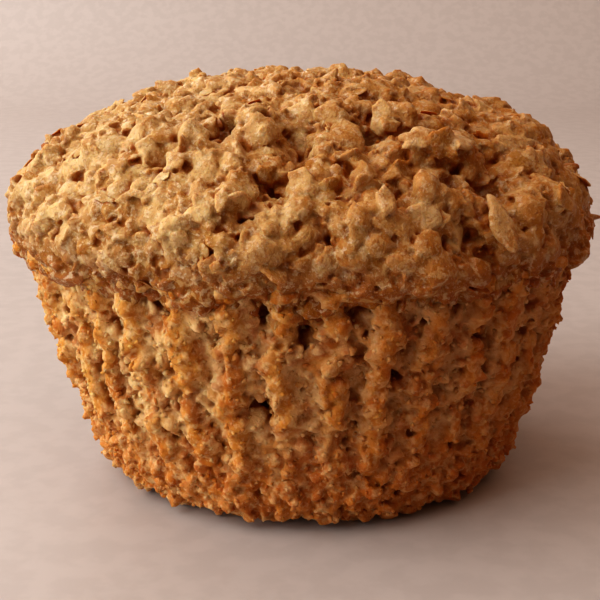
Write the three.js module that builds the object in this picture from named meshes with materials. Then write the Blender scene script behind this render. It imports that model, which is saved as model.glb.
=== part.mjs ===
// An oat muffin out of its pleated paper case, standing on its foot. Millimetres, +Z up, origin on the
// table under the middle of the muffin, front towards -Y. It is one solid of baked crumb: a fluted side
// that took the print of the case, and a domed crown with a lip that rose over the rim of the tin.
import * as THREE from "three";
import { ImprovedNoise } from "three/addons/math/ImprovedNoise.js";

// Driving sizes. The side is that of a 12-cup tin: 70 mm across the top of the cup.
const RIM_RADIUS = 34.9; // side where it meets the lip
const RIM_HEIGHT = 30.4;
const SIDE_RADIUS = 28.2; // side where the rounding of the foot ends
const SIDE_BULGE = 0.4; // the side bows out by this much at half height
const FOOT_ROUNDING = 6.4;
const CROWN_RADIUS = 37.0; // crown at its widest, between the crags
const CROWN_WIDEST = 33.0; // height of that place
const HEIGHT = 49.5; // top of the crown, between the crags
const CROWN_SHIFT = 0.9; // the crown rose a little off the middle, towards -X

// Flutes that the pleats of the case left
const FLUTES = 38;
const FLUTE_DEPTH = 1.1; // crest to valley
const CREST_SHARE = [0.55, 1.25]; // lowest and highest crest, as a share of the depth
const FLUTES_FADE = [7, 15]; // heights between which they come up out of the rough foot
const CRUMB_ROUGHNESS = { coarse: 11, fine: 4.5, depth: 0.32 };

// Crags of the crown: clods of batter, lumps with oat flakes on them, and open pits between them.
// A reach is half the width of one, a rise its height or, below zero, its depth, and the spacing is
// from one to the next.
const CLODS = { spacing: 10.5, reach: [5.5, 8.5], rise: [0.6, 1.7], seed: 11 };
const LUMPS = { spacing: 4.3, reach: [2.2, 3.9], rise: [0.8, 2.0], seed: 23 };
const PITS = { spacing: 13, reach: [2.2, 3.2], rise: [-1.4, -2.6], seed: 37 };
const SWELL = { width: 17, depth: 0.6 }; // slow unevenness of the whole crown
const CRAG_LEVEL = 1.3; // mean height of clods and lumps together
const LIP_DRIP = { fall: 1.0, width: 7, reach: 1.8 }; // places where the lip hangs lower
const LIP_SAG = { fall: 1.1, reach: 3.5 }; // on the -X side all of the lip does

// Size of the mesh
const COLUMNS = FLUTES * 4; // crest, flank, valley, flank
const FOOT_ROWS = 4;
const SIDE_ROWS = 13;
const LIP_ROWS = 3;
const CROWN_STEP = 1.46; // spacing of rows and columns on the crown

// Hollows and knobs that stand out: [degrees round from the front towards +X, distance from the axis,
// half width, rise], the rise below zero for a hollow
const FEATURES_OF_THE_CROWN = [
  [-20, 24.7, 2.7, -2.6],
  [-29, 30.7, 2.0, -1.8],
  [-5, 32.0, 3.0, -2.6],
  [-1, 25.3, 2.6, -2.3],
  [18, 24.0, 2.7, -2.4],
  [24, 30.2, 2.2, -2.2],
  [31, 31.2, 2.4, -2.6],
  [39, 32.0, 2.2, -2.2],
  [-10, 35.3, 1.9, -1.6],
  [5, 36.0, 1.9, -1.6],
  [17, 33.4, 2.0, -1.8],
  [29, 36.0, 2.4, -2.0],
  [-26, 25.0, 2.6, 1.2],
  [-11, 24.4, 2.9, 1.1],
  [-47, 28.9, 3.4, 1.3],
  [30, 26.9, 3.2, 1.9],
  [40, 28.4, 2.6, 1.3],
  [22, 33.2, 2.6, 1.2],
  [33, 36.0, 2.6, 1.0],
  [43, 35.4, 3.0, 1.0],
  [6, 27.4, 3.2, 1.0],
  [12, 19.7, 3.4, 0.9],
];
// Air pockets in the side: [degrees from the front, height, half width, depth]
const POCKETS_IN_THE_SIDE = [
  [-7.5, 28.0, 1.7, 2.4],
  [-1, 25.6, 1.4, 2.0],
  [-26, 28.4, 1.7, 2.0],
  [8, 28.6, 1.6, 1.6],
  [29, 28.2, 1.8, 2.0],
  [35, 24.2, 1.7, 2.2],
  [-9.5, 16.4, 1.8, 1.6],
  [14, 14.9, 1.5, 1.4],
  [112, 25.0, 1.8, 2.0],
  [151, 27.4, 1.7, 2.0],
  [-96, 22.6, 1.8, 2.0],
  [-158, 26.2, 1.9, 2.2],
  [-127, 15.4, 1.7, 1.8],
  [74, 19.3, 1.7, 1.8],
];

const TURN = 2 * Math.PI;
const GOLDEN_ANGLE = Math.PI * (3 - Math.sqrt(5));
const noise = new ImprovedNoise();

// Random numbers from 0 to 1 that are the same in every run
function seeded(seed) {
  let state = seed;
  return () => {
    state = (state + 0x6d2b79f5) | 0;
    let t = Math.imul(state ^ (state >>> 15), 1 | state);
    t = (t + Math.imul(t ^ (t >>> 7), 61 | t)) ^ t;
    return ((t ^ (t >>> 14)) >>> 0) / 4294967296;
  };
}

const between = ([low, high], share) => low + (high - low) * share;

// Soft unevenness from about -1 to 1, whose waves are as wide as size
const uneven = (p, size) =>
  noise.noise(p.x / size, p.y / size, p.z / size) * 1.4;

const { smoothstep, degToRad, clamp } = THREE.MathUtils;
const azimuthOf = (degreesFromFront) => degToRad(degreesFromFront - 90);

const pointAt = (azimuth, radius, height) =>
  new THREE.Vector3(
    radius * Math.cos(azimuth),
    radius * Math.sin(azimuth),
    height,
  );

// ---- The outline that is turned about the axis ----

const DOME_HEIGHT = HEIGHT - CROWN_WIDEST;
const SIDE_LEAN = Math.atan2(
  RIM_RADIUS - SIDE_RADIUS,
  RIM_HEIGHT - FOOT_ROUNDING,
);
const FOOT_RADIUS = SIDE_RADIUS - FOOT_ROUNDING * Math.cos(SIDE_LEAN); // of the flat underside

const foot = new THREE.Path().absarc(
  FOOT_RADIUS,
  FOOT_ROUNDING,
  FOOT_ROUNDING,
  -Math.PI / 2,
  -SIDE_LEAN,
  false,
);
const footEnd = foot.getPoint(1);
const side = new THREE.QuadraticBezierCurve(
  footEnd,
  new THREE.Vector2(
    (footEnd.x + RIM_RADIUS) / 2 + 2 * SIDE_BULGE,
    (footEnd.y + RIM_HEIGHT) / 2,
  ),
  new THREE.Vector2(RIM_RADIUS, RIM_HEIGHT),
);
const lip = new THREE.QuadraticBezierCurve(
  new THREE.Vector2(RIM_RADIUS, RIM_HEIGHT),
  new THREE.Vector2(CROWN_RADIUS, RIM_HEIGHT + 0.4),
  new THREE.Vector2(CROWN_RADIUS, CROWN_WIDEST),
);
const dome = new THREE.EllipseCurve(
  0,
  CROWN_WIDEST,
  CROWN_RADIUS,
  DOME_HEIGHT,
  0,
  Math.PI / 2,
  false,
);

// Height of the plain crown at a distance from the axis
const domeHeight = (radius) =>
  CROWN_WIDEST +
  DOME_HEIGHT * Math.sqrt(Math.max(0, 1 - (radius / CROWN_RADIUS) ** 2));

// ---- The crags of the crown ----

const domeArea =
  TURN * CROWN_RADIUS * (DOME_HEIGHT * 0.55 + CROWN_RADIUS * 0.5);

// Rises or hollows along a golden spiral over the crown, each pushed a little off its place
function scatter({ spacing, reach, rise, seed }) {
  const random = seeded(seed);
  const count = Math.round(domeArea / spacing ** 2);
  return Array.from({ length: count }, (_, i) => {
    const share = (i + random()) / count;
    const onDome = dome.getPointAt(1 - Math.sqrt(share) * 0.99);
    const azimuth = i * GOLDEN_ANGLE + ((random() - 0.5) * spacing) / 25;
    return {
      centre: pointAt(azimuth, onDome.x, onDome.y),
      reach: between(reach, random()),
      rise: between(rise, random() ** 1.4),
    };
  });
}

const placed = FEATURES_OF_THE_CROWN.map(([degrees, radius, reach, rise]) => ({
  centre: pointAt(azimuthOf(degrees), radius, domeHeight(radius)),
  reach,
  rise,
}));
const clods = scatter(CLODS);
const lumps = scatter(LUMPS);
const pits = scatter(PITS).filter(({ centre }) =>
  placed.every((other) => centre.distanceTo(other.centre) > PITS.spacing / 2),
);

// The height of a round rise at a point: the whole of it in the middle, none from its reach outwards
const knob = (p, { centre, reach, rise }) =>
  rise * Math.max(0, 1 - p.distanceToSquared(centre) / reach ** 2);

// The same with a soft edge, for a hollow
const hollow = (p, { centre, reach, rise }) =>
  rise * Math.max(0, 1 - p.distanceToSquared(centre) / reach ** 2) ** 1.5;

const highest = (p, knobs) => Math.max(0, ...knobs.map((k) => knob(p, k)));
const total = (p, hollows) =>
  hollows.reduce((sum, h) => sum + hollow(p, h), 0);

function crownRelief(p) {
  const crags = highest(p, clods) + highest(p, lumps) - CRAG_LEVEL;
  const swell = SWELL.depth * uneven(p, SWELL.width);
  return crags + swell + total(p, pits) + total(p, placed);
}

// ---- The fluted side ----

const crestDraw = seeded(5);
const crestShares = Array.from({ length: FLUTES }, () =>
  between(CREST_SHARE, crestDraw()),
);
const pockets = POCKETS_IN_THE_SIDE.map(([degrees, height, reach, depth]) => ({
  centre: pointAt(azimuthOf(degrees), sideRadiusAt(height), height),
  reach,
  rise: -depth,
}));

function sideRadiusAt(height) {
  const share = (height - footEnd.y) / (RIM_HEIGHT - footEnd.y);
  return side.getPoint(clamp(share, 0, 1)).x;
}

function sideRelief(p) {
  const azimuth = (Math.atan2(p.y, p.x) + TURN) % TURN;
  const turns = (azimuth / TURN) * FLUTES;
  const crest = crestShares[Math.round(turns) % FLUTES] * (FLUTE_DEPTH / 2);
  const flute =
    crest * Math.cos(turns * TURN) * smoothstep(p.z, ...FLUTES_FADE);
  const { coarse, fine, depth } = CRUMB_ROUGHNESS;
  const rough = depth * (uneven(p, coarse) + uneven(p, fine));
  return flute + rough + total(p, pockets);
}

// ---- Rows of points from the table to the top of the crown ----

// Rows along a curve of the outline: each has its point, the direction out of the crumb, and a share
// of the relief that goes from one value to the other between two heights
function rows(curve, count, relief, [share, otherShare], heights) {
  return Array.from({ length: count }, (_, i) => {
    const at = (i + 1) / count;
    const point = curve.getPointAt(at);
    const tangent = curve.getTangentAt(Math.min(at, 0.999));
    const out = new THREE.Vector2(tangent.y, -tangent.x);
    const fade = between([share, otherShare], smoothstep(point.y, ...heights));
    return { point, out, relief, fade, columns: COLUMNS };
  });
}

const onTheTable = [0, 5];
const underTheLip = [RIM_HEIGHT - 2.5, RIM_HEIGHT];
const overTheLip = [RIM_HEIGHT, CROWN_WIDEST + 1];
const domeRows = Math.round(dome.getLength() / CROWN_STEP);

// The same row with fewer columns, as the crown closes towards its top
const thinned = (row) => {
  const columns = Math.round((TURN * row.point.x) / CROWN_STEP);
  return { ...row, columns: Math.min(COLUMNS, columns) };
};

const outlineRows = [
  ...rows(foot, FOOT_ROWS, sideRelief, [0, 1], onTheTable),
  ...rows(side, SIDE_ROWS, sideRelief, [1, 0.3], underTheLip),
  ...rows(lip, LIP_ROWS, crownRelief, [0.35, 1], overTheLip),
  ...rows(dome, domeRows, crownRelief, [0.35, 1], overTheLip)
    .slice(0, -1)
    .map(thinned),
];

// How far the lip, and the crust just above and below it, hangs down at a point
function lipFall(p) {
  const nearness = ({ reach }) => Math.exp(-(((p.z - RIM_HEIGHT) / reach) ** 2));
  const here = uneven(new THREE.Vector3(p.x, p.y, 0), LIP_DRIP.width) + 0.2;
  const drip = LIP_DRIP.fall * Math.max(0, here) * nearness(LIP_DRIP);
  const sag = LIP_SAG.fall * Math.max(0, -p.x / CROWN_RADIUS) * nearness(LIP_SAG);
  return drip + sag;
}

function ringOf({ point, out, relief, fade, columns }) {
  return Array.from({ length: columns }, (_, i) => {
    const azimuth = (i / columns) * TURN;
    const plain = pointAt(azimuth, point.x, point.y);
    const lift = relief(plain) * fade;
    const height = point.y + out.y * lift - lipFall(plain);
    const raised = pointAt(
      azimuth,
      point.x + out.x * lift,
      Math.max(0, height),
    );
    raised.x -= CROWN_SHIFT * smoothstep(point.y, ...overTheLip);
    return raised;
  });
}

const flatRing = (radius, columns) =>
  Array.from({ length: columns }, (_, i) =>
    pointAt((i / columns) * TURN, radius, 0),
  );

const topOfCrown = new THREE.Vector3(-CROWN_SHIFT, 0, HEIGHT);
topOfCrown.z += crownRelief(new THREE.Vector3(0, 0, HEIGHT));

const rings = [
  [new THREE.Vector3(0, 0, 0)],
  flatRing(FOOT_RADIUS * 0.55, FLUTES),
  flatRing(FOOT_RADIUS, COLUMNS),
  ...outlineRows.map(ringOf),
  [topOfCrown],
];

// ---- The closed skin over those rings ----

// Triangles between two rings whose numbers of points may differ, wound to face outwards
function stitch(lower, lowerStart, upper, upperStart) {
  const faces = [];
  const a = (i) => lowerStart + (i % lower.length);
  const b = (j) => upperStart + (j % upper.length);
  const lowerSteps = lower.length > 1 ? lower.length : 0;
  const upperSteps = upper.length > 1 ? upper.length : 0;
  let i = 0;
  let j = 0;
  while (i < lowerSteps || j < upperSteps) {
    const nextLower = i < lowerSteps ? (i + 1) / lowerSteps : Infinity;
    const nextUpper = j < upperSteps ? (j + 1) / upperSteps : Infinity;
    if (nextLower <= nextUpper) {
      faces.push(a(i), a(i + 1), b(j));
      i += 1;
    } else {
      faces.push(b(j + 1), b(j), a(i));
      j += 1;
    }
  }
  return faces;
}

function skin(allRings) {
  const positions = allRings.flat().flatMap((p) => p.toArray());
  const faces = [];
  let start = 0;
  for (let k = 0; k + 1 < allRings.length; k++) {
    const next = start + allRings[k].length;
    faces.push(...stitch(allRings[k], start, allRings[k + 1], next));
    start = next;
  }
  const geometry = new THREE.BufferGeometry();
  geometry.setAttribute(
    "position",
    new THREE.Float32BufferAttribute(positions, 3),
  );
  geometry.setIndex(faces);
  return geometry;
}

const geometry = skin(rings);
geometry.computeBoundingBox();
const middle = geometry.boundingBox.getCenter(new THREE.Vector3());
geometry.translate(-middle.x, -middle.y, 0);
geometry.computeVertexNormals();

// ---- The part ----

const bakedCrumb = new THREE.MeshStandardMaterial({
  color: "#b98346",
  roughness: 0.72,
  metalness: 0,
});

const muffin = new THREE.Mesh(geometry, bakedCrumb);
muffin.name = "muffin";

const part = new THREE.Group();
part.add(muffin);
export default part;
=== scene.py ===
import math

import bpy
import numpy as np
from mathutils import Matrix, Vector
from mathutils.bvhtree import BVHTree
from mathutils.kdtree import KDTree


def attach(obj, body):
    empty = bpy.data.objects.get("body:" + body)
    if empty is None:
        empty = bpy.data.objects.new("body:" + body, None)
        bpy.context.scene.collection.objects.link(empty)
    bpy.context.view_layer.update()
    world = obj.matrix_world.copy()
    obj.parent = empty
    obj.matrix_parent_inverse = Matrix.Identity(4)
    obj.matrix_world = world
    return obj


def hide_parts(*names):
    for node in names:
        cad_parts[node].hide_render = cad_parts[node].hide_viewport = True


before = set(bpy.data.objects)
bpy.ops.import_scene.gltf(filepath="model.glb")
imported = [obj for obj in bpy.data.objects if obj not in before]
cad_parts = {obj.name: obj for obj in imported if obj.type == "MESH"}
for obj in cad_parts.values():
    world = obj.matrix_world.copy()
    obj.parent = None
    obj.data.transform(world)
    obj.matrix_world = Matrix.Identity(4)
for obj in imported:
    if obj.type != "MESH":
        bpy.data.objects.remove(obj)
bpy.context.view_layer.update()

# ---- The crown ----
# Oat batter that rose over the rim of the tin and set in the oven: clods and chips of batter with rolled
# oats in and on them, pits that steam tore open, and a lip that hangs a little over the side. It is
# fused from the solid's own form and the chips, flakes and clods on it, with a few loose flakes on top.

MM = 0.001
CREASE = 30.4 * MM  # height where the lip meets the side
LIP_LOW = 28.8 * MM  # where the lip hangs lowest
CROWN_CUT = 26.5 * MM  # where the crown ends, inside the side
LIP_TUCK = 0.95  # how much narrower it is below the lip, to stay inside the side
SKIN_SUNK = 0.35 * MM  # room under the solid's own skin for what stands out of it
CROWN_CORE_SUNK = 0.26 * MM  # how much deeper the core lies, below the chips and flakes
SWELL = 0.35 * MM
SWELL_LENGTH = 6.5 * MM
PIT_MARGIN = np.array([1.1, 1.0, 0.4]) * MM  # pits are pressed wider than they look once chips lie in them
CROWN_GRAIN = 0.18 * MM  # squares of the fused skin
MOST_TRIANGLES = 198000
CROWN_SEED = 3

# Clods that stand out: place, how wide, tall and thick, roll in degrees, lift, in mm.
CLODS_BY_HAND = [
    (-10.6, -24.0, 46.1, 2.7, 2.6, 1.9, 0, 0.2),
    (-3.6, -24.8, 45.8, 3.5, 2.9, 1.9, 20, 0.1),
    (-20.3, -20.4, 44.3, 3.2, 2.3, 1.6, 10, 0.0),
    (4.7, -23.2, 44.7, 4.4, 3.8, 1.8, 15, 0.2),
    (12.9, -30.9, 41.3, 2.2, 2.9, 1.9, 5, 0.4),
    (18.6, -23.8, 41.4, 1.6, 1.9, 1.4, 0, 0.2),
    (6.1, -35.0, 39.1, 2.2, 2.2, 1.6, 40, 0.2),
    (24.7, -26.9, 38.3, 2.7, 3.1, 1.8, 0, 0.3),
    (25.4, -27.5, 35.4, 2.2, 2.3, 1.6, 0, 0.2),
    (14.2, -34.6, 33.5, 2.9, 2.9, 1.9, 0, 0.4),
    (5.5, -36.1, 34.5, 3.1, 2.2, 1.6, -10, 0.3),
    (13.1, -34.5, 35.9, 2.9, 2.2, 1.6, 20, 0.2),
    (11.6, -18.6, 46.7, 2.3, 2.3, 1.8, 0, 0.3),
    (-7.6, -36.3, 37.0, 1.7, 1.7, 1.3, 0, 0.2),
    (0.4, -34.2, 39.7, 2.4, 2.2, 1.4, 0, 0.1),
    (-3.3, -36.5, 35.8, 2.9, 2.2, 1.4, 15, 0.1),
    (-21.6, -28.8, 33.1, 2.3, 1.7, 1.3, 0, 0.1),
    (3.4, -33.4, 39.4, 2.0, 1.6, 1.3, 0, 0.2),
    (1.2, -34.3, 36.7, 2.6, 2.0, 1.4, 0, 0.2),
    (8.2, -36.0, 36.2, 2.1, 2.1, 1.4, 0, 0.2),
    (18.9, -30.9, 32.2, 3.1, 2.5, 1.8, 0, 0.2),
    (3.6, -20.7, 47.6, 2.7, 2.0, 1.4, 0, 0.1),
    (-24.5, -25.2, 30.2, 4.0, 1.8, 1.9, 8, 0.6),
    (10.3, -35.9, 34.5, 2.2, 1.7, 1.4, 0, 0.2),
    (26.0, -24.0, 33.0, 2.7, 2.3, 1.6, 0, 0.2),
    (22.0, -28.6, 33.6, 2.3, 2.2, 1.6, 0, 0.2),
]
CLODS_SUNK = 0.2 * MM
# Flakes that stand out, in the same way.
FLAKES_BY_HAND = [
    (12.8, -24.5, 45.1, 4.4, 3.2, 1.0, 18, 0.6),
    (17.6, -22.5, 44.6, 6.0, 3.0, 1.2, -8, 0.6),
    (24.7, -15.8, 43.1, 6.0, 3.0, 1.0, -15, 0.7),
    (26.8, -17.6, 41.1, 2.2, 4.8, 1.0, 20, 0.6),
    (8.8, -33.8, 40.0, 2.0, 3.6, 1.2, -8, 0.8),
    (12.9, -32.3, 38.3, 3.8, 3.0, 1.3, -20, 0.5),
    (16.7, -29.8, 35.6, 2.4, 4.4, 1.3, 28, 0.5),
    (20.7, -29.3, 36.4, 2.8, 6.6, 1.4, 4, 0.9),
    (8.5, -18.8, 47.2, 2.2, 2.6, 0.9, 15, 1.0),
    (10.1, -21.0, 45.9, 2.5, 1.7, 1.0, 0, 0.5),
    (-7.3, -34.2, 40.1, 1.3, 3.0, 0.9, -5, 0.7),
    (-1.1, -34.7, 38.9, 4.2, 1.8, 1.0, 12, 0.4),
    (-12.9, -34.2, 37.5, 1.6, 2.9, 0.9, -30, 0.6),
    (-7.9, -37.2, 34.2, 1.3, 1.1, 0.5, 25, 0.6),
    (-14.8, -31.3, 38.2, 3.0, 2.4, 1.0, 0, 0.4),
    (-25.3, -24.5, 37.4, 3.4, 2.4, 1.0, 10, 0.4),
    (-9.5, -34.0, 38.8, 2.5, 2.1, 0.9, 0, 0.4),
    (-12.5, -27.5, 43.2, 3.0, 2.0, 0.9, -25, 0.4),
    (-5.5, -8.3, 48.5, 5.0, 3.4, 1.2, 0, 0.4),
    (14.8, -6.0, 47.7, 4.6, 3.0, 1.2, 0, 0.5),
    (23.1, 1.8, 46.3, 5.0, 3.6, 1.2, 0, 0.4),
    (-18.6, -25.4, 41.9, 3.0, 2.4, 1.0, 0, 0.4),
    (0.4, -31.0, 41.8, 2.8, 2.4, 1.0, 0, 0.4),
    (-4.6, -32.1, 40.9, 2.6, 2.4, 1.0, 0, 0.4),
]
FLAKES_SUNK = 0.05 * MM
# Pits torn open by steam: place, how wide, tall and deep, in mm.
PITS_BY_HAND = [
    (-8.0, -21.0, 45.7, 3.2, 2.4, 1.5),
    (-14.4, -25.0, 42.6, 1.5, 2.0, 1.5),
    (-5.5, -25.5, 44.5, 1.6, 0.9, 1.2),
    (-11.1, -31.5, 40.5, 1.0, 0.8, 1.5),
    (-2.2, -30.0, 40.6, 3.2, 2.2, 2.0),
    (-0.6, -30.0, 41.8, 2.6, 1.6, 1.6),
    (0.1, -22.5, 45.2, 2.8, 2.1, 1.4),
    (8.5, -18.8, 47.2, 1.6, 1.8, 1.2),
    (7.5, -21.5, 44.7, 1.7, 1.6, 1.5),
    (13.0, -25.4, 43.1, 2.6, 0.9, 2.2),
    (15.1, -25.1, 43.1, 2.6, 1.1, 2.4),
    (17.5, -24.7, 42.8, 2.4, 1.0, 2.4),
    (21.4, -20.2, 41.7, 2.0, 1.2, 2.0),
    (-5.2, -34.2, 39.3, 1.0, 2.4, 1.5),
    (-5.4, -36.7, 36.9, 1.0, 2.2, 1.5),
    (3.4, -34.7, 36.0, 1.2, 1.7, 1.5),
    (10.5, -30.8, 40.5, 1.3, 1.6, 1.5),
    (17.8, -29.3, 36.2, 1.1, 1.1, 1.6),
    (0.8, -34.4, 38.2, 1.8, 0.9, 1.3),
    (-3.9, -30.2, 41.8, 1.6, 1.1, 1.0),
    (-16.4, -27.5, 41.1, 1.1, 0.8, 1.1),
    (12.7, -18.3, 46.2, 1.1, 2.0, 1.1),
    (5.5, -29.2, 42.7, 1.0, 2.2, 1.0),
    (1.0, -27.2, 43.6, 1.5, 0.8, 1.0),
    (14.5, -31.5, 35.0, 1.0, 1.2, 1.2),
]
# Where the crown is less full than the solid, or fuller: place, reach and depth, in mm.
CROWN_DENTS = [
    (-31.0, 1.0, 43.0, 13.0, 1.9),
    (-35.0, -4.0, 39.0, 8.0, 0.7),
    (34.0, -2.0, 40.5, 9.0, 1.8),
    (28.0, 8.0, 43.5, 8.0, 0.8),
    (-36.5, -9.0, 31.5, 5.0, -0.9),
]


def activate(piece):
    """Leaves this piece alone selected and active."""
    bpy.ops.object.select_all(action="DESELECT")
    piece.select_set(True)
    bpy.context.view_layer.objects.active = piece


def apply_modifier(piece, kind, **settings):
    """Adds a modifier with these settings and applies it."""
    activate(piece)
    modifier = piece.modifiers.new(kind.title(), kind)
    for name, value in settings.items():
        setattr(modifier, name, value)
    bpy.ops.object.modifier_apply(modifier=modifier.name)


def sink(piece, depth):
    """Moves a piece's whole skin in by this much."""
    apply_modifier(piece, "DISPLACE", strength=-depth, mid_level=0)


def points_of(piece):
    """The places of a mesh's points, one row each."""
    places = np.empty(len(piece.data.vertices) * 3)
    piece.data.vertices.foreach_get("co", places)
    return places.reshape(-1, 3)


def normals_of(piece):
    """The directions out of a mesh at its points."""
    normals = np.empty(len(piece.data.vertices) * 3)
    piece.data.vertex_normals.foreach_get("vector", normals)
    return normals.reshape(-1, 3)


def triangles_of(piece):
    """The numbers of the points at the corners of a mesh's triangles, one row each."""
    piece.data.calc_loop_triangles()
    corners = np.empty(len(piece.data.loop_triangles) * 3, int)
    piece.data.loop_triangles.foreach_get("vertices", corners)
    return corners.reshape(-1, 3)


def set_points(piece, places):
    """Moves a mesh's points to these places."""
    piece.data.vertices.foreach_set("co", places.ravel())
    piece.data.update()


def unit(rows):
    """Rows scaled to length 1."""
    return rows / np.maximum(np.linalg.norm(rows, axis=-1, keepdims=True), 1e-9)


def solid_form(name):
    """A merged copy of the solid, finer and rounder than its facets."""
    piece = bpy.data.objects.new(name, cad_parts["muffin"].data.copy())
    bpy.context.scene.collection.objects.link(piece)
    activate(piece)
    bpy.ops.object.mode_set(mode="EDIT")
    bpy.ops.mesh.select_all(action="SELECT")
    bpy.ops.mesh.remove_doubles(threshold=0.001 * MM)
    bpy.ops.object.mode_set(mode="OBJECT")
    apply_modifier(piece, "SUBSURF", levels=2, render_levels=2)
    piece.data.materials.clear()
    return piece


def copy_of(piece, name):
    """A copy of a piece with its own mesh."""
    made = bpy.data.objects.new(name, piece.data.copy())
    bpy.context.scene.collection.objects.link(made)
    return made


def cut_level(piece, height, keep_above):
    """Cuts a piece level at a height, closes the cut and keeps one side of it."""
    activate(piece)
    bpy.ops.object.mode_set(mode="EDIT")
    bpy.ops.mesh.select_all(action="SELECT")
    bpy.ops.mesh.bisect(
        plane_co=(0, 0, height),
        plane_no=(0, 0, 1),
        use_fill=True,
        clear_inner=keep_above,
        clear_outer=not keep_above,
    )
    bpy.ops.object.mode_set(mode="OBJECT")


def waves(places, length, draw, count=16):
    """A smooth uneven value for each place, mostly between -1 and 1, that varies over this length."""
    ways = unit(draw.normal(size=(count, 3))) * draw.uniform(0.6, 1.4, (count, 1)) * math.tau / length
    return np.sin(places @ ways.T + draw.random(count) * math.tau).sum(1) / math.sqrt(count / 2)


def spots_on(piece, apart, draw, low=-1.0, high=1.0, wanted=None):
    """Places on a piece's skin between two heights, each at least this far apart from the others, with
    the directions out of the skin there."""
    tries_for_each = 3
    corners = triangles_of(piece)
    places = points_of(piece)[corners]
    outward = normals_of(piece)[corners]
    sides = np.cross(places[:, 1] - places[:, 0], places[:, 2] - places[:, 0])
    area = np.linalg.norm(sides, axis=1) / 2
    tries = int(tries_for_each * area.sum() / apart**2)
    chosen = draw.choice(len(area), tries, p=area / area.sum())
    shares = draw.dirichlet((1, 1, 1), tries)[:, :, None]
    spots = (places[chosen] * shares).sum(1)
    normals = unit((outward[chosen] * shares).sum(1))
    good = (spots[:, 2] > low) & (spots[:, 2] < high)
    if wanted:
        good &= wanted(spots)
    spots = spots[good]
    normals = normals[good]
    kept = apart_from_each_other(spots, apart)
    return spots[kept], normals[kept]


def apart_from_each_other(spots, apart):
    """The numbers of the spots left when each one too near to an earlier one is passed over."""
    taken = {}
    kept = []
    steps = [(i, j, k) for i in (-1, 0, 1) for j in (-1, 0, 1) for k in (-1, 0, 1)]
    cells = np.floor(spots / apart).astype(int)
    for number, (spot, cell) in enumerate(zip(spots.tolist(), cells.tolist())):
        near = [
            other
            for step in steps
            for other in taken.get(tuple(map(sum, zip(cell, step))), ())
        ]
        if all(math.dist(spot, other) >= apart for other in near):
            taken.setdefault(tuple(cell), []).append(spot)
            kept.append(number)
    return np.array(kept)


def turns_about(normals, lean, draw):
    """A turn for each direction: its third column leans away from the direction by up to this angle,
    and the others are turned anyhow about it."""
    count = len(normals)
    sideways = unit(draw.normal(size=(count, 3))) * np.tan(lean) * draw.random((count, 1))
    up = unit(normals + sideways)
    across = unit(np.cross(up, draw.normal(size=(count, 3))))
    return np.stack([across, np.cross(up, across), up], axis=2)


def upright_turns(normals, rolls):
    """A turn for each direction: its second column points up the slope, rolled by an angle."""
    up_slope = unit(np.array([0, 0, 1.0]) - normals * normals[:, 2:])
    across = np.cross(up_slope, normals)
    along = np.cos(rolls)[:, None]
    aside = np.sin(rolls)[:, None]
    columns = [across * along + up_slope * aside, up_slope * along - across * aside, normals]
    return np.stack(columns, axis=2)


def joined_copies(name, models, spots, turns, sizes, tones, draw):
    """One mesh of a copy of any of these models at each spot, with each copy's tone on its points."""
    corners = []
    faces = []
    tone = []
    start = 0
    which = draw.integers(len(models), size=len(spots))
    for number, (points, triangles) in enumerate(models):
        mine = which == number
        placed = np.einsum("nij,nvj->nvi", turns[mine], sizes[mine][:, None] * points)
        placed += spots[mine][:, None]
        firsts = start + len(points) * np.arange(len(placed))
        corners.append(placed.reshape(-1, 3))
        faces.append((triangles + firsts[:, None, None]).reshape(-1, 3))
        tone.append(np.repeat(tones[mine], len(points)))
        start += len(placed) * len(points)
    corners = np.concatenate(corners)
    faces = np.concatenate(faces)
    mesh = bpy.data.meshes.new(name)
    mesh.vertices.add(len(corners))
    mesh.vertices.foreach_set("co", corners.ravel())
    mesh.loops.add(len(faces) * 3)
    mesh.loops.foreach_set("vertex_index", faces.ravel())
    mesh.polygons.add(len(faces))
    mesh.polygons.foreach_set("loop_start", np.arange(len(faces)) * 3)
    mesh.update(calc_edges=True)
    piece = bpy.data.objects.new(name, mesh)
    bpy.context.scene.collection.objects.link(piece)
    store(piece, "tone", np.concatenate(tone))
    return piece


def store(piece, name, values):
    """Stores a value for each point of a piece, for its material to read."""
    attribute = piece.data.attributes.new(name, "FLOAT", "POINT")
    attribute.data.foreach_set("value", values.astype(np.float32))


def model_of(piece):
    """The points and triangles of a piece, which is then removed."""
    model = points_of(piece), triangles_of(piece)
    bpy.data.objects.remove(piece)
    return model


def chip_model(fineness, seed):
    """An angular crumb about 2 units across."""
    bpy.ops.object.select_all(action="DESELECT")
    bpy.ops.mesh.primitive_ico_sphere_add(subdivisions=fineness, radius=1)
    chip = bpy.context.object
    bpy.ops.object.mode_set(mode="EDIT")
    bpy.ops.transform.vertex_random(offset=0.6, uniform=0.8, normal=0.2, seed=seed)
    bpy.ops.mesh.convex_hull()
    bpy.ops.mesh.quads_convert_to_tris()
    bpy.ops.object.mode_set(mode="OBJECT")
    return model_of(chip)


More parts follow.
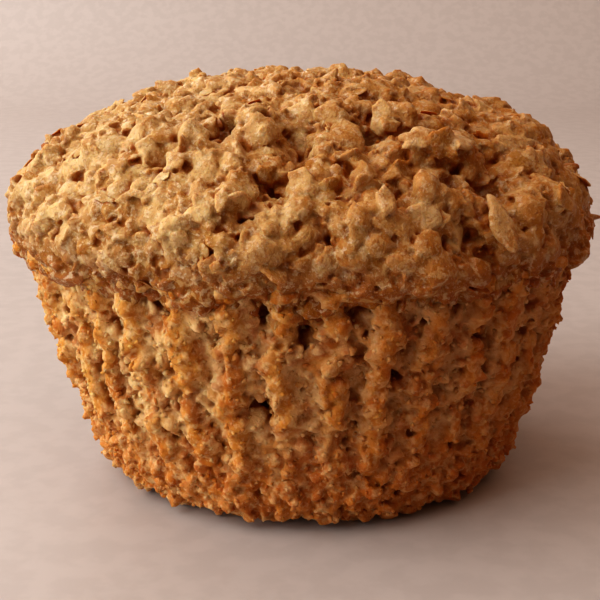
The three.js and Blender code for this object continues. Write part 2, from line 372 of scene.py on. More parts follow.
def flake_model(seed):
    """A rolled oat flake 2 units across: a thin plate with a wavy outline, thickest in the middle, with
    a crease along it and curled a little."""
    crease_depth = 0.35
    crease_width = 0.14
    outline_waves = 4
    bpy.ops.object.select_all(action="DESELECT")
    bpy.ops.mesh.primitive_uv_sphere_add(segments=16, ring_count=8, radius=1)
    flake = bpy.context.object
    points = points_of(flake)
    draw = np.random.default_rng(seed)
    angle = np.arctan2(points[:, 1], points[:, 0])
    waves_round = draw.integers(2, 7, outline_waves)
    shifts = draw.random(outline_waves) * math.tau
    outline = 1 + 0.08 * np.sin(angle[:, None] * waves_round + shifts).sum(1)
    middle = np.hypot(points[:, 0], points[:, 1])
    flat_edge = np.sign(points[:, 2]) * np.abs(points[:, 2]) ** 0.6
    crease = crease_depth * np.exp(-((points[:, 0] / crease_width) ** 2)) * (points[:, 2] > 0)
    points[:, 2] = flat_edge * (1 - 0.3 * middle) * (1 - crease)
    points[:, :2] *= outline[:, None]
    curl = draw.uniform(-0.7, 0.7)
    twist = draw.uniform(-0.5, 0.5)
    points[:, 2] += curl * points[:, 0] ** 2 + twist * points[:, 0] * points[:, 1]
    points[:, 2] += 0.2 * np.sin(4 * points[:, 1] + seed)
    set_points(flake, points)
    return model_of(flake)


chip_models = [chip_model(2, seed) for seed in range(10)]
grain_models = [chip_model(1, seed) for seed in range(10)]
flake_models = [flake_model(seed) for seed in range(10)]


def strew(name, skin, models, apart, reach, flatness, lean, lift, draw, tone=(0, 1), **where):
    """Copies of these models over a skin: apart from each other, this large (half width), this flat,
    leaning up to this angle, and with their middles this far above the skin."""
    spots, normals = spots_on(skin, apart, draw, **where)
    count = len(spots)
    wide = draw.uniform(*reach, (count, 1)) * draw.uniform(0.7, 1.3, (count, 2))
    sizes = np.concatenate([wide, wide.mean(1, keepdims=True) * flatness], axis=1)
    spots = spots + normals * draw.uniform(*lift, (count, 1))
    turns = turns_about(normals, lean, draw)
    return joined_copies(name, models, spots, turns, sizes, draw.uniform(*tone, count), draw)


def away_from_middle(places):
    """The directions to places on the crown from a point well inside the muffin."""
    return unit(places - np.array([0, 0, 15 * MM]))


def set_by_hand(name, skin, models, rows, sunk, tone, draw):
    """Copies of these models at places near a skin. A row gives the place, how wide, tall and thick the
    thing is, its roll in degrees and how far its middle stands out of the skin, all in millimetres; all
    of them are sunk this much further."""
    rows = np.array(rows)
    found = [skin.closest_point_on_mesh(Vector(place))[1:3] for place in rows[:, :3] * MM]
    spots = np.array([spot for spot, _ in found])
    normals = unit(np.array([normal for _, normal in found]) + away_from_middle(spots))
    spots = spots + normals * (rows[:, 7:8] * MM - sunk)
    turns = upright_turns(normals, np.radians(rows[:, 6]))
    sizes = rows[:, 3:6] / 2 * MM
    return joined_copies(name, models, spots, turns, sizes, draw.uniform(*tone, len(rows)), draw)


def clear_of_flakes(spots):
    """Whether each spot is clear of the listed flakes."""
    rows = np.array(FLAKES_BY_HAND) * MM
    apart = np.linalg.norm(spots[:, None] - rows[None, :, :3], axis=2)
    return (apart > 0.36 * rows[:, 3:5].mean(1)).all(1)


def marks_of(piece, share):
    """The places of a piece's points with their tones and this share, to colour what it is fused into."""
    tone = np.empty(len(piece.data.vertices))
    piece.data.attributes["tone"].data.foreach_get("value", tone)
    return np.column_stack([points_of(piece), tone, np.full(len(tone), share)])


def fuse(pieces, grain):
    """Joins pieces and makes one closed skin round all of them, of squares this large."""
    activate(pieces[0])
    for piece in pieces[1:]:
        piece.select_set(True)
    bpy.ops.object.join()
    apply_modifier(pieces[0], "REMESH", mode="VOXEL", voxel_size=grain)
    return pieces[0]


def press_dents(piece, rows):
    """Presses a skin in, smoothly. A row gives the place, the reach and the depth, in millimetres."""
    places = points_of(piece)
    normals = normals_of(piece)
    for row in np.array(rows) * MM:
        far = np.linalg.norm(places - row[:3], axis=1) / row[3]
        places -= normals * (row[4] * np.exp(-2 * far**2))[:, None]
    set_points(piece, places)


def tree_of(places):
    """A search tree of places."""
    tree = KDTree(len(places))
    for number, place in enumerate(places.tolist()):
        tree.insert(place, number)
    tree.balance()
    return tree


def press_in(piece, spots, normals, sizes, draw):
    """Presses pits with uneven outlines into a piece. Each has a place, a direction out of the skin, and
    its width, its height up the slope and its depth."""
    unevenness = 0.28
    rim = 0.25  # how far past its outline a pit's soft rim reaches
    places = points_of(piece)
    tree = tree_of(places)
    uneven = 1 + unevenness * waves(places, 1.3 * MM, draw)
    pushed = np.zeros_like(places)
    turns = upright_turns(normals, np.zeros(len(normals)))
    for spot, turn, size in zip(spots, turns, sizes):
        near = [number for _, number, _ in tree.find_range(spot, 0.9 * max(size[:2]) + 0.3 * MM)]
        if not near:
            continue
        way = (places[near] - spot) @ turn
        out = np.hypot(way[:, 0] / size[0], way[:, 1] / size[1]) * 2 * uneven[near]
        share = np.clip(1 + rim - out, 0, 1)
        share = share * share * (3 - 2 * share)
        push = -turn[:, 2] * (share * size[2])[:, None]
        deeper = np.linalg.norm(push, axis=1) > np.linalg.norm(pushed[near], axis=1)
        pushed[np.array(near)[deeper]] = push[deeper]
    set_points(piece, places + pushed)


def roughen(piece, size, depth):
    """Roughens a skin with grain of this size and depth."""
    texture = bpy.data.textures.new(piece.name + "_grain", "CLOUDS")
    texture.noise_scale = size
    texture.noise_depth = 2
    apply_modifier(
        piece, "DISPLACE", texture=texture, texture_coords="LOCAL", direction="NORMAL", strength=depth,
        mid_level=0.5,
    )


def thin_to(piece, triangles):
    """Takes away the faces that show least, down to this many triangles."""
    apply_modifier(piece, "TRIANGULATE")
    share = triangles / len(piece.data.polygons)
    if share < 1:
        apply_modifier(piece, "DECIMATE", ratio=share)


def edges_of(piece):
    """The numbers of the points at the ends of a mesh's edges, one row each."""
    ends = np.empty(len(piece.data.edges) * 2, int)
    piece.data.edges.foreach_get("vertices", ends)
    return ends.reshape(-1, 2)


def drop_specks(piece):
    """Deletes the specks that fusing left apart from a piece's main skin."""
    edges = edges_of(piece)
    skin_number = np.arange(len(piece.data.vertices))
    settled = False
    while not settled:
        before = skin_number.copy()
        np.minimum.at(skin_number, edges[:, 0], before[edges[:, 1]])
        np.minimum.at(skin_number, edges[:, 1], before[edges[:, 0]])
        skin_number = skin_number[skin_number]
        settled = (skin_number == before).all()
    activate(piece)
    bpy.ops.object.mode_set(mode="EDIT")
    bpy.ops.mesh.select_mode(type="VERT")
    bpy.ops.mesh.select_all(action="DESELECT")
    bpy.ops.object.mode_set(mode="OBJECT")
    piece.data.vertices.foreach_set("select", skin_number != np.bincount(skin_number).argmax())
    bpy.ops.object.mode_set(mode="EDIT")
    bpy.ops.mesh.delete(type="VERT")
    bpy.ops.object.mode_set(mode="OBJECT")


def note_rise(piece, skin):
    """Stores how far each point of a piece stands out of a skin, in millimetres."""
    tree = BVHTree.FromObject(skin, bpy.context.evaluated_depsgraph_get())
    rise = []
    for place in points_of(piece).tolist():
        spot, normal, _, _ = tree.find_nearest(place)
        rise.append((Vector(place) - spot).dot(normal) / MM)
    store(piece, "rise", np.array(rise))


def blended(piece, values, times):
    """The values of a piece's points, each averaged with those of the points joined to it."""
    edges = edges_of(piece)
    starts = np.concatenate([edges[:, 0], edges[:, 1]])
    ends = np.concatenate([edges[:, 1], edges[:, 0]])
    counts = np.maximum(1, np.bincount(starts, minlength=len(values)))
    for _ in range(times):
        values = 0.5 * values + 0.5 * np.bincount(starts, values[ends], len(values)) / counts
    return values


def note_painted_shade(piece, reach, draw, others=()):
    """Stores how sheltered each point is, for the materials to paint shade into its hollows: the share of
    the ways out of the skin that meet the piece again, or one of the others, within this reach."""
    ways_tried = 6
    clear_of_skin = 0.06 * MM
    corners = []
    faces = []
    for part in (piece, *others):
        faces += [[number + len(corners) for number in face.vertices] for face in part.data.polygons]
        corners += points_of(part).tolist()
    tree = BVHTree.FromPolygons(corners, faces)
    normals = normals_of(piece)
    met = np.zeros(len(normals))
    starts = (points_of(piece) + normals * clear_of_skin).tolist()
    for _ in range(ways_tried):
        ways = unit(normals + 0.98 * unit(draw.normal(size=normals.shape))).tolist()
        met += [tree.ray_cast(start, way, reach)[0] is not None for start, way in zip(starts, ways)]
    store(piece, "painted_shade", blended(piece, met / ways_tried, 2))


def note_parts(piece, marks):
    """Stores the tone and the share of the fused thing that each point of a piece lies on."""
    marks = np.concatenate(marks)
    tree = tree_of(marks[:, :3])
    nearest = np.array([tree.find(place)[1:] for place in points_of(piece).tolist()])
    on_it = nearest[:, 1] < 0.45 * MM
    number = nearest[:, 0].astype(int)
    store(piece, "tone", np.where(on_it, marks[number, 3], 0.5))
    store(piece, "oat", np.where(on_it, marks[number, 4], 0.0))


draw = np.random.default_rng(CROWN_SEED)
skin = solid_form("crown_skin")
press_dents(skin, CROWN_DENTS)
sink(skin, SKIN_SUNK)
pits = np.array(PITS_BY_HAND) * MM
press_in(skin, pits[:, :3], away_from_middle(pits[:, :3]), pits[:, 3:] + PIT_MARGIN, draw)
places = points_of(skin)
set_points(skin, places + normals_of(skin) * (SWELL * waves(places, SWELL_LENGTH, draw))[:, None])
crown = copy_of(skin, "crown")
sink(crown, CROWN_CORE_SUNK)
cut_level(crown, CROWN_CUT, keep_above=True)
places = points_of(crown)
places[places[:, 2] < LIP_LOW, :2] *= LIP_TUCK
set_points(crown, places)

on_crown = dict(skin=skin, draw=draw, low=LIP_LOW)
chips = strew(
    "chips", models=chip_models, apart=1.35 * MM, reach=(0.5 * MM, 1.1 * MM), flatness=0.46, lean=0.8,
    lift=(-0.3 * MM, 0.04 * MM), **on_crown,
)
small_chips = strew(
    "small_chips", models=grain_models, apart=0.75 * MM, reach=(0.22 * MM, 0.5 * MM), flatness=0.7,
    lean=1.2, lift=(-0.15 * MM, 0.18 * MM), **on_crown,
)
sunk_flakes = strew(
    "sunk_flakes", models=flake_models, apart=2.7 * MM, reach=(0.8 * MM, 1.5 * MM), flatness=0.3,
    lean=0.9, lift=(-0.15 * MM, 0.25 * MM), wanted=clear_of_flakes, **on_crown,
)
flakes_by_hand = set_by_hand(
    "flakes_by_hand", skin, flake_models, FLAKES_BY_HAND, sunk=FLAKES_SUNK, tone=(0.6, 1), draw=draw
)
clods_by_hand = set_by_hand(
    "clods_by_hand", skin, chip_models, CLODS_BY_HAND, sunk=CLODS_SUNK, tone=(0.3, 1), draw=draw
)
# Each with how much it looks like an oat, and the rest of its look is the batter's.
oat_shares = {chips: 0.6, small_chips: 0.3, sunk_flakes: 1, flakes_by_hand: 1, clods_by_hand: 0.5}
marks = [marks_of(piece, share) for piece, share in oat_shares.items()]
fuse([crown, *oat_shares], CROWN_GRAIN)
spots, normals = spots_on(skin, 7.5 * MM, draw, low=CREASE)
sizes = draw.uniform((0.4, 0.4, 0.5), (0.9, 0.8, 0.9), (len(spots), 3)) * MM
press_in(crown, spots, normals, sizes, draw)
roughen(crown, 0.45 * MM, 0.15 * MM)
thin_to(crown, MOST_TRIANGLES)
oat_flakes = strew(
    "oat_flakes", models=flake_models, apart=6.0 * MM, reach=(0.7 * MM, 1.3 * MM), flatness=0.16,
    lean=0.9, lift=(0.0 * MM, 0.3 * MM), wanted=clear_of_flakes, **on_crown,
)
for piece, other in ((crown, oat_flakes), (oat_flakes, crown)):
    note_painted_shade(piece, 1.8 * MM, draw, [other])
    note_rise(piece, skin)
store(oat_flakes, "oat", np.full(len(oat_flakes.data.vertices), 0.8))
note_parts(crown, marks)
drop_specks(crown)
bpy.data.objects.remove(skin)


def linear(hex_colour):
    """The linear colour of an sRGB hex value."""
    parts = [int(hex_colour[i : i + 2], 16) / 255 for i in (1, 3, 5)]
    return [c / 12.92 if c <= 0.04045 else ((c + 0.055) / 1.055) ** 2.4 for c in parts] + [1]


def node(material, kind, settings=(), **links):
    """Adds a node to a material, with settings for it and values or links for its inputs."""
    tree = material.node_tree
    made = tree.nodes.new(kind)
    for name, value in dict(settings).items():
        setattr(made, name, value)
    for name, value in links.items():
        socket = made.inputs[int(name[1:])] if name[0] == "_" else made.inputs[name.replace("_", " ")]
        if isinstance(value, bpy.types.NodeSocket):
            tree.links.new(value, socket)
        else:
            socket.default_value = value
    return made


def new_material(name):
    """A material with no nodes yet."""
    material = bpy.data.materials.new(name)
    material.use_nodes = True
    material.node_tree.nodes.clear()
    return material


EASED = {"interpolation_type": "SMOOTHSTEP"}
COLOURS = {"data_type": "RGBA"}


def tinted(material, colour, tints):
    """A colour with tints laid over it. A row gives the value that a tint goes by, from and to in that
    value, the shares of the tint there, and the tint."""
    for value, low, high, share_low, share_high, tint in tints:
        share = node(
            material, "ShaderNodeMapRange", EASED, Value=value, From_Min=low, From_Max=high,
            To_Min=share_low, To_Max=share_high,
        ).outputs["Result"]
        colour = node(
            material, "ShaderNodeMix", COLOURS, _0=share, _6=colour, _7=linear(tint)
        ).outputs[2]
    return colour


def flecked(material, colour, place, flecks):
    """A colour with uneven patches and flecks in it. A row gives their size in millimetres, from and to
    in the noise, the most of them and their tint."""
    for size, low, high, most, tint in flecks:
        noise = node(
            material, "ShaderNodeTexNoise", Vector=place, Scale=1 / (size * MM), Detail=2.0, Roughness=0.6
        ).outputs["Fac"]
        colour = tinted(material, colour, [(noise, low, high, 0.0, most, tint)])
    return colour


# Baked oat crust: sugar and fat of the batter browned over pale starch, so lumps are golden tan, their
# hollows red brown, partly the batter's own colour and partly painted shade, and the skin has a slight
# moist gloss that breaks into small glints. Shade is painted into it towards the right, away from the
# window; low on the lip it is darker, partly its own browning and partly painted shade under the lip.
crust = new_material("baked_oat_crust")
place = node(crust, "ShaderNodeTexCoord").outputs["Object"]
place_parts = node(crust, "ShaderNodeSeparateXYZ", Vector=place)
across = place_parts.outputs["X"]
height = place_parts.outputs["Z"]
tone = node(crust, "ShaderNodeAttribute", {"attribute_name": "tone"}).outputs["Fac"]
rise = node(crust, "ShaderNodeAttribute", {"attribute_name": "rise"}).outputs["Fac"]
painted_shade = node(crust, "ShaderNodeAttribute", {"attribute_name": "painted_shade"}).outputs["Fac"]
oat = node(crust, "ShaderNodeAttribute", {"attribute_name": "oat"}).outputs["Fac"]
# The batter is paler where it stands out and deeper red brown where it lies low: partly its own colour,
# partly painted shade in the hollows.
raised = node(crust, "ShaderNodeMapRange", EASED, Value=rise, From_Min=-0.2, From_Max=0.4)
# Painted shade: the batter is painted darker towards the right, away from the window, and paler on the lit
# left.
painted_right_shade = node(crust, "ShaderNodeMapRange", EASED, Value=across, From_Min=-26 * MM, From_Max=10 * MM)
low_batter = node(
    crust, "ShaderNodeMix", COLOURS, _0=painted_right_shade.outputs["Result"], _6=linear("#a06c2a"),
    _7=linear("#783602"),
)
high_batter = node(
    crust, "ShaderNodeMix", COLOURS, _0=painted_right_shade.outputs["Result"], _6=linear("#ceb07e"),
    _7=linear("#b68242"),
)
batter = node(
    crust, "ShaderNodeMix", COLOURS, _0=raised.outputs["Result"], _6=low_batter.outputs[2],
    _7=high_batter.outputs[2],
)
oats = node(crust, "ShaderNodeMix", COLOURS, _0=tone, _6=linear("#aa7830"), _7=linear("#dab87e"))
colour = node(
    crust, "ShaderNodeMix", COLOURS, _0=oat, _6=batter.outputs[2], _7=oats.outputs[2]
).outputs[2]
# Darker red brown low on the lip: partly the lip's own browning, partly painted shade under its overhang.
colour = tinted(crust, colour, [(height, 29.5 * MM, 37 * MM, 0.9, 0.0, "#8a4208")])
colour = flecked(crust, colour, place, [
    (9.0, 0.4, 0.65, 0.3, "#9e5e0a"),  # browned patches
    (2.6, 0.5, 0.58, 0.6, "#9c5e0c"),
    (1.3, 0.54, 0.62, 0.4, "#d2b47a"),  # pale oat
    (0.7, 0.53, 0.62, 0.4, "#dcc290"),
    (0.5, 0.56, 0.66, 0.4, "#844006"),  # bran
    (0.22, 0.63, 0.7, 0.25, "#fff0d8"),  # painted glints
])
colour = tinted(crust, colour, [
    # painted shade, darker towards the right, away from the window
    (across, -18 * MM, 22 * MM, 0.0, 0.35, "#904804"),
    # painted shade in the sheltered hollows
    (painted_shade, 0.18, 0.6, 0.0, 0.9, "#9a4e04"),
    # painted shade in the deep pits
    (rise, -1.0, -0.2, 0.8, 0.0, "#904402"),
])
grain = node(
    crust, "ShaderNodeTexNoise", Vector=place, Scale=1 / (0.35 * MM), Detail=2.0, Roughness=0.6
)
bump = node(
    crust, "ShaderNodeBump", Strength=1.0, Distance=0.22 * MM, Height=grain.outputs["Fac"]
).outputs["Normal"]
wetness = node(crust, "ShaderNodeTexNoise", Vector=place, Scale=1 / (0.7 * MM), Detail=2.0)
glints = node(
    crust, "ShaderNodeMapRange", EASED, Value=wetness.outputs["Fac"], From_Min=0.53, From_Max=0.61,
    To_Max=0.7,
)
shader = node(
    crust, "ShaderNodeBsdfPrincipled", Base_Color=colour, Roughness=0.6, IOR=1.4, Normal=bump,
    Subsurface_Weight=0.6, Subsurface_Radius=(1.0, 0.6, 0.3), Subsurface_Scale=0.9 * MM,
    Specular_IOR_Level=0.2, Coat_Weight=glints.outputs["Result"], Coat_Roughness=0.22, Coat_Normal=bump,
)
node(crust, "ShaderNodeOutputMaterial", Surface=shader.outputs["BSDF"])

for piece in (crown, oat_flakes):
    piece.data.materials.append(crust)
    activate(piece)
    bpy.ops.object.shade_smooth()
    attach(piece, "root")
    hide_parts("muffin")


# ---- The side ----
# Crumb that baked against the pleated paper: crumbly ridges where it filled the pleats and toasted, and
# paler torn crumb full of pores between them, where the paper tore the skin away. It is fused like the
# crown, and small crumbs stick to it.

PLEATS = 38
SIDE_AXIS = np.array([1.1, 0.3, 0]) * MM  # where the side's middle stands
SIDE_TOP = 31 * MM  # where the side ends, inside the crown
SIDE_CORE_SUNK = 0.45 * MM
VALLEY_DEPTH = 0.5 * MM  # how much deeper the torn crumb lies than in the solid
PLEATS_START = 5 * MM  # height where the pleats start to show
PLEATS_RISE = 8 * MM  # and over which they come up
SIDE_GRAIN = 0.22 * MM
SIDE_SEED = 8
MOST_CRUMBS = 6000

# Where the side is less full than the solid: place, reach and depth, in mm.
SIDE_DENTS = [
    (35.5, -8.0, 27.0, 9.0, 1.3),
    (34.0, -8.0, 17.0, 12.0, 0.7),
    (31.5, -7.0, 8.0, 9.0, 0.5),
]
# Large pores: place, how wide, tall and deep, in mm.
PORES_BY_HAND = [
    (-3.6, -34.0, 28.5, 2.4, 2.2, 3.0),
    (0.2, -34.0, 26.0, 1.7, 2.0, 3.0),
    (-14.3, -31.0, 29.2, 2.2, 1.5, 3.0),
    (-19.6, -28.0, 30.0, 2.0, 1.4, 3.0),
    (19.9, -27.0, 24.2, 2.4, 1.6, 2.6),
    (5.5, -34.0, 29.4, 2.2, 1.2, 2.6),
    (17.3, -29.5, 29.2, 2.4, 1.3, 2.6),
    (11.1, -31.5, 20.9, 1.9, 1.5, 2.2),
    (-4.5, -31.0, 16.4, 2.2, 1.6, 2.2),
    (12.0, -27.0, 5.3, 2.0, 1.4, 1.8),
    (19.2, -24.5, 10.2, 1.6, 1.4, 1.8),
    (-7.5, -29.5, 11.7, 1.3, 1.3, 1.8),
    (7.7, -30.5, 14.9, 1.8, 1.5, 2.0),
]
PORE_MARGIN = np.array([0.8, 0.7, 0]) * MM


def from_axis(places):
    """The level directions to places from the side's axis."""
    return unit((places - SIDE_AXIS) * np.array([1, 1, 0]))


def pleats_up(places):
    """How far the pleats have come up at each place's height, from 0 to 1."""
    return np.clip((places[:, 2] - PLEATS_START) / PLEATS_RISE, 0, 1)


def ridge_share(places):
    """How near each place is to the top of a pleat's ridge: 1 on it and 0 between two, fading out
    towards the foot and here and there."""
    way = places - SIDE_AXIS
    steady = np.random.default_rng(SIDE_SEED)
    turn = np.arctan2(way[:, 1], way[:, 0]) + 0.013 * waves(places, 7 * MM, steady)
    fade = pleats_up(places) * np.clip(0.8 + 0.4 * waves(places, 11 * MM, steady), 0.2, 1)
    return (0.5 + 0.5 * np.cos(PLEATS * turn)) * fade + 0.5 * (1 - fade)


draw = np.random.default_rng(SIDE_SEED)
skin = solid_form("side_skin")
press_dents(skin, SIDE_DENTS)
places = points_of(skin)
depth = VALLEY_DEPTH * (1 - ridge_share(places)) ** 1.3 * pleats_up(places)
set_points(skin, places - from_axis(places) * depth[:, None])
sink(skin, SKIN_SUNK)
pores = np.array(PORES_BY_HAND) * MM
press_in(skin, pores[:, :3], from_axis(pores[:, :3]), pores[:, 3:] + PORE_MARGIN, draw)
# Hollows where the paper took crumb away with it.
spots, normals = spots_on(
    skin, 3.4 * MM, draw, high=CREASE, wanted=lambda spots: ridge_share(spots) < 0.6
)
sizes = draw.uniform((1.0, 1.2, 0.4), (2.0, 2.6, 1.2), (len(spots), 3)) * MM
press_in(skin, spots, normals, sizes, draw)
side = copy_of(skin, "side")
sink(side, SIDE_CORE_SUNK)
cut_level(side, SIDE_TOP, keep_above=False)

on_side = dict(skin=skin, draw=draw, high=CREASE + 0.3 * MM)
ridge_chips = strew(
    "ridge_chips", models=chip_models, apart=0.9 * MM, reach=(0.45 * MM, 0.95 * MM), flatness=0.7,
    lean=1.2, lift=(-0.4 * MM, 0.15 * MM), tone=(0.0, 0.6),
    wanted=lambda spots: (ridge_share(spots) > 0.72) & (spots[:, 2] > 8 * MM), **on_side,
)
side_chips = strew(
    "side_chips", models=chip_models, apart=1.5 * MM, reach=(0.45 * MM, 1.0 * MM), flatness=0.7,
    lean=1.2, lift=(-0.6 * MM, 0.0 * MM), **on_side,
)
side_grains = strew(
    "side_grains", models=grain_models, apart=0.85 * MM, reach=(0.22 * MM, 0.5 * MM), flatness=0.8,
    lean=1.2, lift=(-0.55 * MM, 0.1 * MM), **on_side,
)
marks = [marks_of(ridge_chips, 1), marks_of(side_chips, 0), marks_of(side_grains, 0)]
fuse([side, ridge_chips, side_chips, side_grains], SIDE_GRAIN)
apply_modifier(side, "SMOOTH", factor=0.5, iterations=1)
# Small pores of the crumb, between the ridges.
spots, normals = spots_on(
    skin, 2.8 * MM, draw, high=CREASE, wanted=lambda spots: ridge_share(spots) < 0.65
)
sizes = draw.uniform((0.4, 0.4, 0.4), (0.9, 1.1, 1.2), (len(spots), 3)) * MM
press_in(side, spots, normals, sizes, draw)
roughen(side, 0.5 * MM, 0.25 * MM)
thin_to(side, MOST_TRIANGLES)
note_painted_shade(side, 2.5 * MM, draw)
note_parts(side, marks)
places = points_of(side)
places[:, 2] = np.maximum(places[:, 2], 0)
set_points(side, places)
store(side, "ridge", ridge_share(places))
bpy.data.objects.remove(skin)

spots, normals = spots_on(side, 0.8 * MM, draw, low=1 * MM, high=CREASE)
spots = spots[:MOST_CRUMBS]
normals = normals[:MOST_CRUMBS]
count = len(spots)
sizes = draw.uniform(0.2 * MM, 0.4 * MM, (count, 1)) * draw.uniform(0.7, 1.3, (count, 3))
spots = spots + normals * draw.uniform(-0.2 * MM, 0.0 * MM, (count, 1))
turns = turns_about(normals, 1.2, draw)
tones = draw.uniform(0, 1, count)
side_crumbs = joined_copies("side_crumbs", grain_models, spots, turns, sizes, tones, draw)
store(side_crumbs, "ridge", ridge_share(points_of(side_crumbs)))
# The crumbs get an even share of painted shade.
store(side_crumbs, "painted_shade", np.full(len(side_crumbs.data.vertices), 0.3))
drop_specks(side)

# Torn crumb: steamed crumb that stays pale between the ridges, and ridges and foot that the tin toasted
# orange brown. It is matt, and light goes a little way into it. Shade is painted into it towards the
# right, away from the window, and in its sheltered hollows.
crumb = new_material("torn_crumb")
place = node(crumb, "ShaderNodeTexCoord").outputs["Object"]
place_parts = node(crumb, "ShaderNodeSeparateXYZ", Vector=place)
across = place_parts.outputs["X"]
height = place_parts.outputs["Z"]
tone = node(crumb, "ShaderNodeAttribute", {"attribute_name": "tone"}).outputs["Fac"]
ridge = node(crumb, "ShaderNodeAttribute", {"attribute_name": "ridge"}).outputs["Fac"]
painted_shade = node(crumb, "ShaderNodeAttribute", {"attribute_name": "painted_shade"}).outputs["Fac"]
pale = node(crumb, "ShaderNodeMix", COLOURS, _0=tone, _6=linear("#ca9048"), _7=linear("#e8c48c"))
toasted = node(crumb, "ShaderNodeMix", COLOURS, _0=tone, _6=linear("#c27620"), _7=linear("#e4aa58"))
on_ridge = node(crumb, "ShaderNodeMapRange", EASED, Value=ridge, From_Min=0.35, From_Max=0.85)
colour = node(
    crumb, "ShaderNodeMix", COLOURS, _0=on_ridge.outputs["Result"], _6=pale.outputs[2],
    _7=toasted.outputs[2],
).outputs[2]
colour = tinted(crumb, colour, [(height, 6 * MM, 16 * MM, 0.75, 0.0, "#c26e18")])
colour = flecked(crumb, colour, place, [
    (3.0, 0.5, 0.62, 0.6, "#a8520e"),  # toasted patches
    (1.4, 0.5, 0.64, 0.5, "#ecc88c"),  # pale crumb
    (0.5, 0.54, 0.66, 0.25, "#f5dcaa"),
    (0.6, 0.58, 0.68, 0.3, "#9a4c10"),  # bran
])
colour = tinted(crumb, colour, [
    # painted shade, darker towards the right, away from the window
    (across, -22 * MM, 18 * MM, 0.0, 0.55, "#9c4a08"),
    # painted shade in the sheltered hollows
    (painted_shade, 0.3, 0.8, 0.0, 0.9, "#94500c"),
])
grain = node(
    crumb, "ShaderNodeTexNoise", Vector=place, Scale=1 / (0.4 * MM), Detail=3.0, Roughness=0.65
)
bump = node(
    crumb, "ShaderNodeBump", Strength=1.0, Distance=0.2 * MM, Height=grain.outputs["Fac"]
).outputs["Normal"]
shader = node(
    crumb, "ShaderNodeBsdfPrincipled", Base_Color=colour, Roughness=0.65, IOR=1.4, Normal=bump,
    Subsurface_Weight=0.5, Subsurface_Radius=(1.0, 0.6, 0.35), Subsurface_Scale=0.8 * MM,
    Specular_IOR_Level=0.2,
)
node(crumb, "ShaderNodeOutputMaterial", Surface=shader.outputs["BSDF"])

for piece in (side, side_crumbs):
    piece.data.materials.append(crumb)
    activate(piece)
    bpy.ops.object.shade_smooth()
    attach(piece, "root")
    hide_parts("muffin")


# ---- The counter ----
# A pale laminate counter under the muffin, a sheet that curves up into a wall of the same behind it, so
# that no edge shows. It is no part of the muffin.

COUNTER_SIZE = 5.0
COUNTER_BACK = 0.5
WALL_HEIGHT = 2.0
CORNER_ROUNDING = 0.12

bpy.ops.object.select_all(action="DESELECT")
bpy.ops.mesh.primitive_plane_add(size=1, location=(0, -COUNTER_SIZE / 2 + COUNTER_BACK, 0))
floor = bpy.context.object
floor.name = "counter"
floor.scale = (COUNTER_SIZE, COUNTER_SIZE, 1)
bpy.ops.object.transform_apply(location=True, rotation=True, scale=True)
bpy.ops.object.mode_set(mode="EDIT")
bpy.ops.mesh.select_mode(type="EDGE")
bpy.ops.mesh.select_all(action="DESELECT")
bpy.ops.object.mode_set(mode="OBJECT")
for edge in floor.data.edges:
    edge.select = all(floor.data.vertices[end].co.y > COUNTER_BACK - MM for end in edge.vertices)
bpy.ops.object.mode_set(mode="EDIT")
bpy.ops.mesh.extrude_region_move(TRANSFORM_OT_translate={"value": (0, 0, WALL_HEIGHT)})
bpy.ops.mesh.select_all(action="DESELECT")
bpy.ops.object.mode_set(mode="OBJECT")
for edge in floor.data.edges:
    ends = [floor.data.vertices[end].co for end in edge.vertices]
    edge.select = all(abs(end.y - COUNTER_BACK) < MM and end.z < MM for end in ends)
bpy.ops.object.mode_set(mode="EDIT")
bpy.ops.mesh.bevel(offset=CORNER_ROUNDING, segments=16)
bpy.ops.object.mode_set(mode="OBJECT")
bpy.ops.object.shade_smooth()

# Pale laminate: printed paper under a satin resin, so it is faintly mottled and mirrors nothing sharply.
laminate = new_material("pale_laminate")
place = node(laminate, "ShaderNodeTexCoord").outputs["Object"]
noise = node(laminate, "ShaderNodeTexNoise", Vector=place, Scale=1 / (4 * MM), Detail=3.0)
mottle = node(laminate, "ShaderNodeMapRange", EASED, Value=noise.outputs["Fac"], From_Min=0.4, From_Max=0.6)
colour = node(
    laminate, "ShaderNodeMix", COLOURS, _0=mottle.outputs["Result"], _6=linear("#b4aaa5"),
    _7=linear("#b9afaa"),
).outputs[2]
shader = node(
    laminate, "ShaderNodeBsdfPrincipled", Base_Color=colour, Roughness=0.5, Specular_IOR_Level=0.5
)
node(laminate, "ShaderNodeOutputMaterial", Surface=shader.outputs["BSDF"])
floor.data.materials.append(laminate)


# ---- The light and the camera ----
# Cool daylight from a window at the left, high and low, with a little from behind, and warm light that
# the ceiling and the room throw back. The camera stands in front and looks down a little.

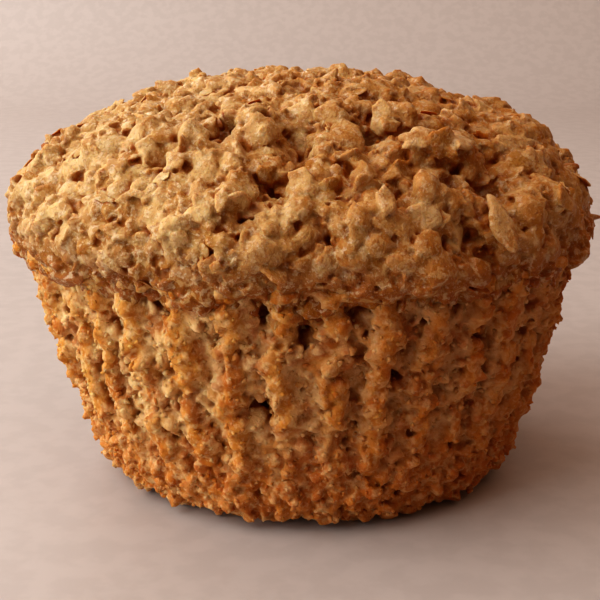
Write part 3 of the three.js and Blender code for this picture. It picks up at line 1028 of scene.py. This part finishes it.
MUFFIN_MIDDLE = Vector((0, 0, 25 * MM))
CAMERA_PLACE = (0.4 * MM, -150 * MM, 62.4 * MM)
CAMERA_LOOKS_DOWN = math.radians(15.59)
CAMERA_LENS = 71.5  # for a picture 36 mm wide


def area_light(name, azimuth, elevation, distance, size, power, colour):
    """A square light this far from the muffin's middle. Azimuth 0 is in front, 90 on the right."""
    level = math.cos(math.radians(elevation))
    turn = math.radians(azimuth)
    out = Vector((math.sin(turn) * level, -math.cos(turn) * level, math.sin(math.radians(elevation))))
    data = bpy.data.lights.new(name, "AREA")
    data.size = size
    data.energy = power
    data.color = colour
    light = bpy.data.objects.new(name, data)
    light.location = MUFFIN_MIDDLE + out * distance
    light.rotation_euler = out.to_track_quat("Z", "Y").to_euler()
    bpy.context.scene.collection.objects.link(light)


area_light(
    "window", azimuth=-72, elevation=29, distance=0.65, size=0.8, power=6.0, colour=(0.97, 1.0, 1.0)
)
area_light(
    "window_top", azimuth=-55, elevation=62, distance=0.8, size=0.9, power=2.0, colour=(1.0, 0.99, 0.94)
)
area_light(
    "back_window", azimuth=-145, elevation=35, distance=0.6, size=0.3, power=0.9, colour=(1.0, 0.95, 0.92)
)
area_light(
    "warm_ceiling", azimuth=70, elevation=72, distance=0.9, size=0.9, power=2.0, colour=(1.0, 0.58, 0.36)
)
world = bpy.data.worlds.new("room")
world.use_nodes = True
world.node_tree.nodes["Background"].inputs["Color"].default_value = linear("#ffc59a")
world.node_tree.nodes["Background"].inputs["Strength"].default_value = 0.14
bpy.context.scene.world = world

bpy.context.scene.view_settings.view_transform = "Standard"
bpy.context.scene.view_settings.look = "Medium High Contrast"
camera_data = bpy.data.cameras.new("camera")
camera = bpy.data.objects.new("camera", camera_data)
camera_data.lens = CAMERA_LENS
camera_data.sensor_width = 36
camera_data.clip_start = 0.01
camera.location = CAMERA_PLACE
camera.rotation_euler = (math.radians(90) - CAMERA_LOOKS_DOWN, 0, 0)
bpy.context.scene.collection.objects.link(camera)
bpy.context.scene.camera = camera
